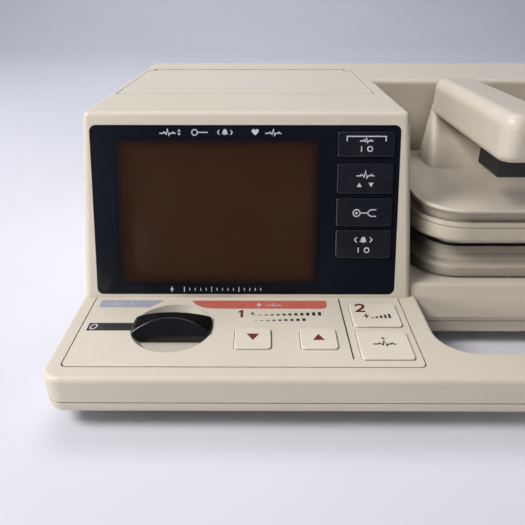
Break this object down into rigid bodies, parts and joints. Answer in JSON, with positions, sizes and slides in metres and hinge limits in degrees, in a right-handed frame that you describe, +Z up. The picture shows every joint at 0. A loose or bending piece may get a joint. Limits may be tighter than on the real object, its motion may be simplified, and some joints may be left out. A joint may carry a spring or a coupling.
{
  "type": "defibrillator",
  "caption": "Bedside defibrillator and heart monitor with a tilted screen, selector knob, press keys, a front carry handle, a chart recorder door and two docked shock paddles.",
  "frame": {"origin": "centre of the footprint, on the surface the feet stand on", "axes": "+X to the user's right, +Y to the rear, +Z up"},
  "size_m": [0.392, 0.31, 0.13],
  "materials": {
    "case_plastic": "fine moulded texture, warm light beige",
    "dish_plastic": "satin, a shade darker than the case",
    "bezel_gloss": "polished black",
    "screen_tint": "smoke tinted, glossy",
    "tube_glass": "grey glass with dark phosphor",
    "key_dark": "satin black",
    "panel_film": "satin printed film",
    "key_light": "satin, slightly lighter than the case",
    "knob_gloss": "polished black",
    "paddle_plastic": "fine moulded texture, beige",
    "trigger_black": "satin black",
    "stainless": "brushed",
    "plated_steel": "zinc plated",
    "sheet_metal": "mill finish",
    "can_metal": "drawn can",
    "core_steel": "varnished laminations",
    "copper_wire": "enamelled copper winding",
    "board_green": "solder mask",
    "black_part": "matt moulded",
    "rubber_black": "matt",
    "gear_plastic": "natural acetal",
    "roll_paper": "thermal chart paper",
    "battery_case": "matt dark grey"
  },
  "bodies": {
    "case": {"upper_case": "case_plastic", "lower_case": "case_plastic", "display_bezel": "bezel_gloss", "screen_filter": "screen_tint", "crt_tube": "tube_glass", "crt_frame": "sheet_metal", "crt_yoke": "copper_wire", "crt_neck_board": "board_green", "soft_key_board": "board_green", "panel_overlay": "panel_film", "knob_dish": "dish_plastic", "rotary_switch": "black_part", "panel_key_board": "board_green", "main_board": "board_green", "inner_chassis": "sheet_metal", "energy_capacitor": "can_metal", "charging_transformer": "core_steel", "discharge_inductor": "copper_wire", "transfer_relay": "black_part", "speaker": "black_part", "battery_bay": "black_part", "recorder_chassis": "sheet_metal", "print_head": "black_part", "recorder_motor": "can_metal", "recorder_door_pin": "plated_steel", "paddle_dock_left": "case_plastic", "paddle_dock_right": "case_plastic", "dock_contacts": "stainless", "ecg_socket": "black_part", "mains_inlet": "black_part", "paddle_cable_socket": "black_part", "rubber_feet": "rubber_black", "case_screws": "plated_steel"},
    "selector": {"selector_knob": "knob_gloss", "knob_shaft": "plated_steel"},
    "recorder_key": {"key_recorder": "key_dark"},
    "ecg_size_key": {"key_ecg_size": "key_dark"},
    "lead_key": {"key_lead": "key_dark"},
    "alarm_key": {"key_alarm": "key_dark"},
    "energy_down_key": {"key_energy_down": "key_light"},
    "energy_up_key": {"key_energy_up": "key_light"},
    "charge_key": {"key_charge": "key_light"},
    "sync_key": {"key_sync": "key_light"},
    "door": {"recorder_door": "case_plastic"},
    "paper": {"paper_roll": "roll_paper"},
    "platen": {"platen_roller": "rubber_black", "platen_gear": "gear_plastic"},
    "pinion": {"motor_pinion": "plated_steel"},
    "battery": {"battery_pack": "battery_case"},
    "paddle_left": {"paddle_body_left": "paddle_plastic", "paddle_base_left": "paddle_plastic", "paddle_electrode_left": "stainless", "paddle_gland_left": "rubber_black"},
    "trigger_left": {"discharge_trigger_left": "trigger_black"},
    "paddle_right": {"paddle_body_right": "paddle_plastic", "paddle_base_right": "paddle_plastic", "paddle_electrode_right": "stainless", "paddle_gland_right": "rubber_black"},
    "trigger_right": {"discharge_trigger_right": "trigger_black"}
  },
  "joints": [
    {"name": "selector_turn", "type": "hinge", "parent": "case", "child": "selector", "pos_m": [-0.1406, -0.1138, 0.03], "axis": [0, 0, 1], "range_deg": [-120, 0]},
    {"name": "recorder_key_press", "type": "slide", "parent": "case", "child": "recorder_key", "axis": [0, 0.9501, -0.3118], "range_m": [0, 0.001], "stiffness_N_per_m": 500, "springref_m": -0.001},
    {"name": "ecg_size_key_press", "type": "slide", "parent": "case", "child": "ecg_size_key", "axis": [0, 0.9501, -0.3118], "range_m": [0, 0.001], "stiffness_N_per_m": 500, "springref_m": -0.001},
    {"name": "lead_key_press", "type": "slide", "parent": "case", "child": "lead_key", "axis": [0, 0.9501, -0.3118], "range_m": [0, 0.001], "stiffness_N_per_m": 500, "springref_m": -0.001},
    {"name": "alarm_key_press", "type": "slide", "parent": "case", "child": "alarm_key", "axis": [0, 0.9501, -0.3118], "range_m": [0, 0.001], "stiffness_N_per_m": 500, "springref_m": -0.001},
    {"name": "energy_down_key_press", "type": "slide", "parent": "case", "child": "energy_down_key", "axis": [0, 0, -1], "range_m": [0, 0.001], "stiffness_N_per_m": 500, "springref_m": -0.001},
    {"name": "energy_up_key_press", "type": "slide", "parent": "case", "child": "energy_up_key", "axis": [0, 0, -1], "range_m": [0, 0.001], "stiffness_N_per_m": 500, "springref_m": -0.001},
    {"name": "charge_key_press", "type": "slide", "parent": "case", "child": "charge_key", "axis": [0, 0, -1], "range_m": [0, 0.001], "stiffness_N_per_m": 500, "springref_m": -0.001},
    {"name": "sync_key_press", "type": "slide", "parent": "case", "child": "sync_key", "axis": [0, 0, -1], "range_m": [0, 0.001], "stiffness_N_per_m": 500, "springref_m": -0.001},
    {"name": "door_hinge", "type": "hinge", "parent": "case", "child": "door", "pos_m": [-0.105, 0.1093, 0.1242], "axis": [-1, 0, 0], "range_deg": [0, 95]},
    {"name": "platen_spin", "type": "hinge", "parent": "case", "child": "platen", "pos_m": [-0.087, 0.017, 0.113], "axis": [1, 0, 0], "continuous": true},
    {"name": "pinion_spin", "type": "hinge", "parent": "case", "child": "pinion", "pos_m": [-0.034, 0.0242, 0.10053], "axis": [1, 0, 0], "continuous": true},
    {"name": "paper_spin", "type": "hinge", "parent": "case", "child": "paper", "pos_m": [-0.087, 0.072, 0.1042], "axis": [1, 0, 0], "continuous": true},
    {"name": "battery_slide", "type": "slide", "parent": "case", "child": "battery", "axis": [0, 1, 0], "range_m": [0, 0.086]},
    {"name": "paddle_left_lift", "type": "slide", "parent": "case", "child": "paddle_left", "axis": [0, 0, 1], "range_m": [0, 0.11]},
    {"name": "trigger_left_press", "type": "slide", "parent": "paddle_left", "child": "trigger_left", "axis": [0, 0, 1], "range_m": [0, 0.003], "stiffness_N_per_m": 500, "springref_m": -0.002},
    {"name": "paddle_right_lift", "type": "slide", "parent": "case", "child": "paddle_right", "axis": [0, 0, 1], "range_m": [0, 0.11]},
    {"name": "trigger_right_press", "type": "slide", "parent": "paddle_right", "child": "trigger_right", "axis": [0, 0, 1], "range_m": [0, 0.003], "stiffness_N_per_m": 500, "springref_m": -0.002}
  ],
  "couplings": [
    {"joint": "platen_spin", "follows": "paper_spin", "ratio": 3.6},
    {"joint": "pinion_spin", "follows": "paper_spin", "ratio": -7.2}
  ]
}
